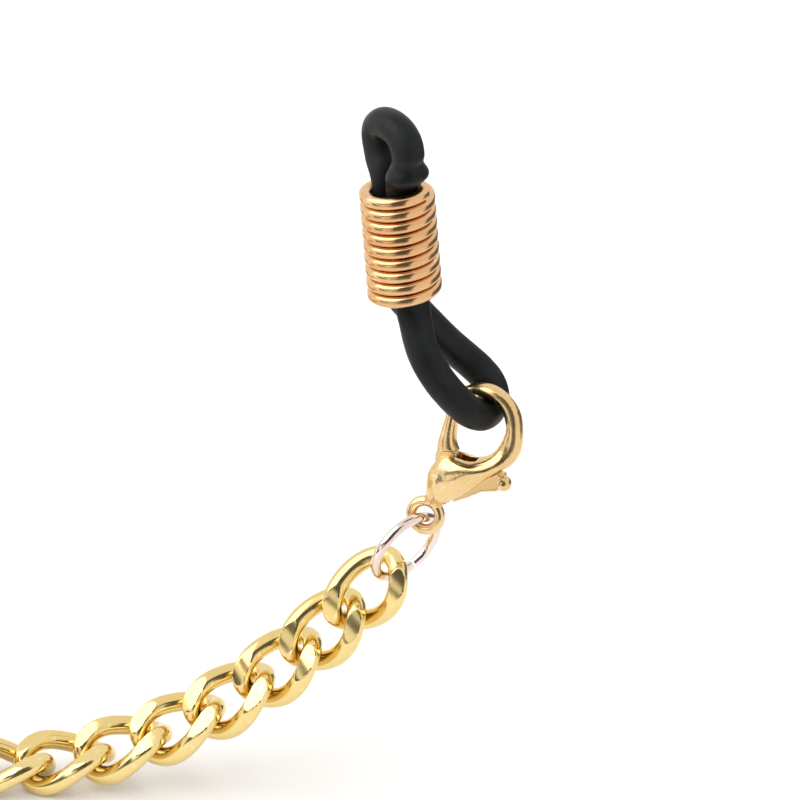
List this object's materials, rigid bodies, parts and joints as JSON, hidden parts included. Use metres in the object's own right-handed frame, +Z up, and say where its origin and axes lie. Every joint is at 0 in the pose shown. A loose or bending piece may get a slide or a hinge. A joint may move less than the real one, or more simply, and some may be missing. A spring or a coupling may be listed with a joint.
{
  "type": "eyeglasses chain strap",
  "caption": "Faceted curb chain with a jump ring, a lobster clasp, and a coil-gripped rubber temple loop at each end.",
  "frame": {"origin": "centre of the opening in end A's rubber loop, where the spectacles temple passes through", "axes": "+Z up; the chain hangs down from the origin and runs along the table towards -X; +Y away from the side that is seen in front"},
  "size_m": [0.1064, 0.0719, 0.0402],
  "materials": {
    "black_silicone": "matt",
    "copper_gold_wire": "plated, bright",
    "pale_gold_casting": "plated, polished",
    "rose_silver_wire": "plated, polished",
    "gold_curb_link": "plated, faceted and polished",
    "steel_pin": "bright",
    "spring_steel": "bright"
  },
  "bodies": {
    "loop_a": {"cord_loop_a": "black_silicone"},
    "coil_a": {"adjuster_coil_a": "copper_gold_wire"},
    "clasp_a": {"clasp_body_a": "pale_gold_casting", "clasp_pin_a": "steel_pin", "clasp_spring_a": "spring_steel"},
    "lever_a": {"clasp_lever_a": "pale_gold_casting"},
    "ring_a": {"jump_ring_a": "rose_silver_wire"},
    "link_01": {"chain_link_01": "gold_curb_link"},
    "link_02": {"chain_link_02": "gold_curb_link"},
    "link_03": {"chain_link_03": "gold_curb_link"},
    "link_04": {"chain_link_04": "gold_curb_link"},
    "link_05": {"chain_link_05": "gold_curb_link"},
    "link_06": {"chain_link_06": "gold_curb_link"},
    "link_07": {"chain_link_07": "gold_curb_link"},
    "link_08": {"chain_link_08": "gold_curb_link"},
    "link_09": {"chain_link_09": "gold_curb_link"},
    "link_10": {"chain_link_10": "gold_curb_link"},
    "link_11": {"chain_link_11": "gold_curb_link"},
    "link_12": {"chain_link_12": "gold_curb_link"},
    "run": {"chain_run": "gold_curb_link"},
    "coiled_chain": {"chain_coil_1": "gold_curb_link", "chain_coil_2": "gold_curb_link", "chain_coil_3": "gold_curb_link"},
    "ring_b": {"jump_ring_b": "rose_silver_wire"},
    "clasp_b": {"clasp_body_b": "pale_gold_casting", "clasp_pin_b": "steel_pin", "clasp_spring_b": "spring_steel"},
    "lever_b": {"clasp_lever_b": "pale_gold_casting"},
    "loop_b": {"cord_loop_b": "black_silicone"},
    "coil_b": {"adjuster_coil_b": "copper_gold_wire"}
  },
  "joints": [
    {"name": "coil_slide_a", "type": "slide", "parent": "loop_a", "child": "coil_a", "axis": [-0.0732, 0, 0.9973], "range_m": [-0.0008, 0.00025], "deforming": ["cord_loop_a"]},
    {"name": "clasp_swing_a", "type": "hinge", "parent": "loop_a", "child": "clasp_a", "pos_m": [0.00485, -0.00012, -0.01557], "axis": [0.3395, 0.9272, -0.1583], "range_deg": [-25, 25], "deforming": ["cord_loop_a"]},
    {"name": "lever_press_a", "type": "hinge", "parent": "clasp_a", "child": "lever_a", "pos_m": [0.00297, -0.00004, -0.01915], "axis": [0.3395, 0.9272, -0.1583], "range_deg": [0, 10], "stiffness_Nm_per_rad": 0.02, "springref_deg": -17.19, "deforming": ["clasp_spring_a"]},
    {"name": "ring_swing_a", "type": "hinge", "parent": "clasp_a", "child": "ring_a", "pos_m": [0.00172, 0, -0.0216], "axis": [-0.3395, -0.9272, 0.1583], "range_deg": [-25, 25]},
    {"name": "link_01_swing", "type": "hinge", "parent": "ring_a", "child": "link_01", "pos_m": [-0.00009, 0, -0.02489], "axis": [0, 1, 0], "range_deg": [-20, 20]},
    {"name": "link_02_swing", "type": "hinge", "parent": "link_01", "child": "link_02", "pos_m": [-0.00243, 0, -0.02745], "axis": [0, -1, 0], "range_deg": [-12, 20]},
    {"name": "link_03_swing", "type": "hinge", "parent": "link_02", "child": "link_03", "pos_m": [-0.00478, 0, -0.02977], "axis": [0, 1, 0], "range_deg": [-20, 12]},
    {"name": "link_04_swing", "type": "hinge", "parent": "link_03", "child": "link_04", "pos_m": [-0.00732, 0, -0.03189], "axis": [0, -1, 0], "range_deg": [-12, 20]},
    {"name": "link_05_swing", "type": "hinge", "parent": "link_04", "child": "link_05", "pos_m": [-0.01007, 0, -0.03373], "axis": [0, 1, 0], "range_deg": [-20, 12]},
    {"name": "link_06_swing", "type": "hinge", "parent": "link_05", "child": "link_06", "pos_m": [-0.01301, 0, -0.03523], "axis": [0, -1, 0], "range_deg": [-12, 20]},
    {"name": "link_07_swing", "type": "hinge", "parent": "link_06", "child": "link_07", "pos_m": [-0.01614, 0, -0.03633], "axis": [0, 1, 0], "range_deg": [-20, 12]},
    {"name": "link_08_swing", "type": "hinge", "parent": "link_07", "child": "link_08", "pos_m": [-0.01939, 0, -0.03694], "axis": [0, -1, 0], "range_deg": [-12, 20]},
    {"name": "link_09_swing", "type": "hinge", "parent": "link_08", "child": "link_09", "pos_m": [-0.0227, 0, -0.03699], "axis": [0, 1, 0], "range_deg": [-20, 20]},
    {"name": "link_10_swing", "type": "hinge", "parent": "link_09", "child": "link_10", "pos_m": [-0.026, 0, -0.03696], "axis": [0, -1, 0], "range_deg": [-20, 20]},
    {"name": "link_11_swing", "type": "hinge", "parent": "link_10", "child": "link_11", "pos_m": [-0.0293, 0, -0.03696], "axis": [0, 1, 0], "range_deg": [-20, 20]},
    {"name": "link_12_swing", "type": "hinge", "parent": "link_11", "child": "link_12", "pos_m": [-0.0326, 0, -0.03696], "axis": [0, -1, 0], "range_deg": [-20, 20]},
    {"name": "run_swing", "type": "hinge", "parent": "link_12", "child": "run", "pos_m": [-0.0359, 0, -0.03696], "axis": [0, 1, 0], "range_deg": [-20, 20]},
    {"name": "coiled_chain_swing", "type": "hinge", "parent": "run", "child": "coiled_chain", "pos_m": [-0.0656, 0.00004, -0.03696], "axis": [0, -1, 0], "range_deg": [-16, 16]},
    {"name": "ring_swing_b", "type": "hinge", "parent": "coiled_chain", "child": "ring_b", "pos_m": [-0.06883, 0.05312, -0.03558], "axis": [0.0108, -0.9999, 0], "range_deg": [0, 15]},
    {"name": "clasp_swing_b", "type": "hinge", "parent": "ring_b", "child": "clasp_b", "pos_m": [-0.06587, 0.05315, -0.03558], "axis": [0.0101, -0.9274, 0.3739], "range_deg": [0, 25]},
    {"name": "lever_press_b", "type": "hinge", "parent": "clasp_b", "child": "lever_b", "pos_m": [-0.06232, 0.0531, -0.03561], "axis": [0.0211, 0.374, 0.9272], "range_deg": [0, 10], "stiffness_Nm_per_rad": 0.02, "springref_deg": -17.19, "deforming": ["clasp_spring_b"]},
    {"name": "loop_swing_b", "type": "hinge", "parent": "clasp_b", "child": "loop_b", "pos_m": [-0.05828, 0.05307, -0.0357], "axis": [0, 0, 1], "range_deg": [-12, 12], "deforming": ["cord_loop_b"]},
    {"name": "coil_slide_b", "type": "slide", "parent": "loop_b", "child": "coil_b", "axis": [0.8441, -0.5363, 0], "range_m": [-0.0008, 0.00025], "deforming": ["cord_loop_b"]}
  ]
}
